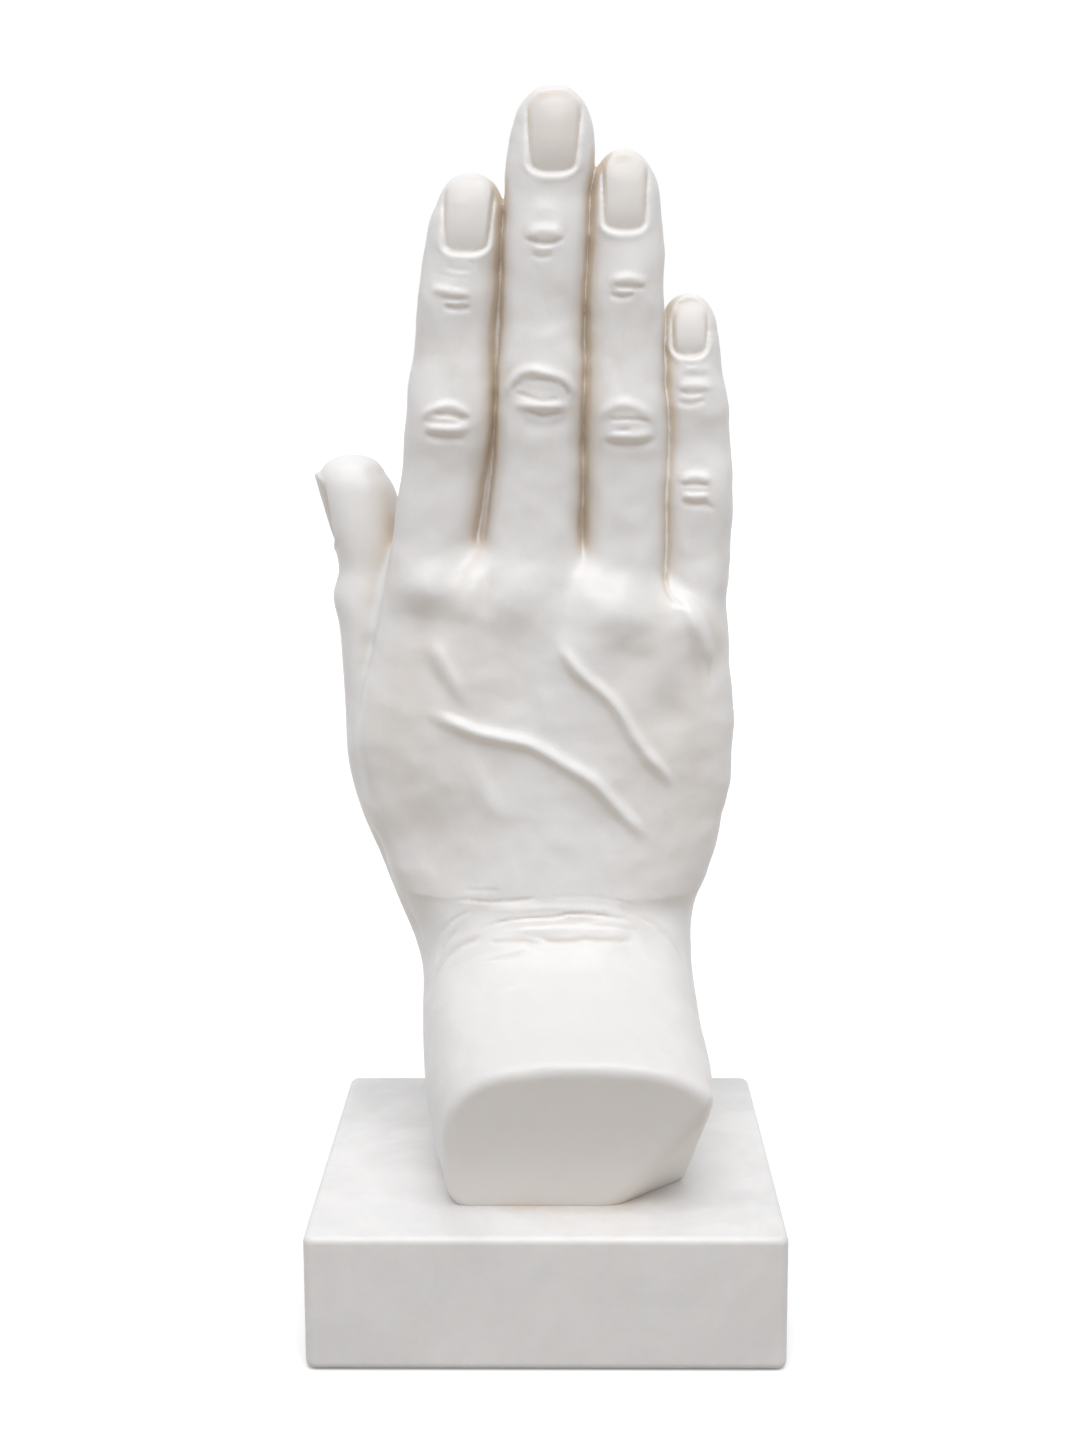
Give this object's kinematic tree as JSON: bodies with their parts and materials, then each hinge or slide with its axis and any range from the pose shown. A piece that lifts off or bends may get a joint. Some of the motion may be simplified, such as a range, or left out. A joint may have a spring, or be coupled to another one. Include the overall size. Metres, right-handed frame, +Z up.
{
  "type": "hand sculpture",
  "caption": "Upright hand with its fingers together, bent back at the wrist so that the forearm stub comes forward as its foot, on a square plinth.",
  "frame": {"origin": "middle of the felt's lower face, on the surface the sculpture stands on", "axes": "+Z up along the fingers, +Y towards the palm side (away from a viewer who faces the back of the hand), +X to that viewer's right, the little finger's side"},
  "size_m": [0.1072, 0.105, 0.2786],
  "materials": {
    "hand_ceramic": "satin",
    "plinth_stone": "satin",
    "felt": "matte",
    "brass": "satin",
    "steel": "satin",
    "cork": "matte"
  },
  "bodies": {
    "root": {"hand": "hand_ceramic", "plinth": "plinth_stone", "felt_base": "felt", "threaded_sleeve": "brass", "threaded_stud": "steel", "cork_washer": "cork", "steel_washer": "steel", "hex_nut": "steel", "locating_dowel": "steel"}
  },
  "joints": []
}
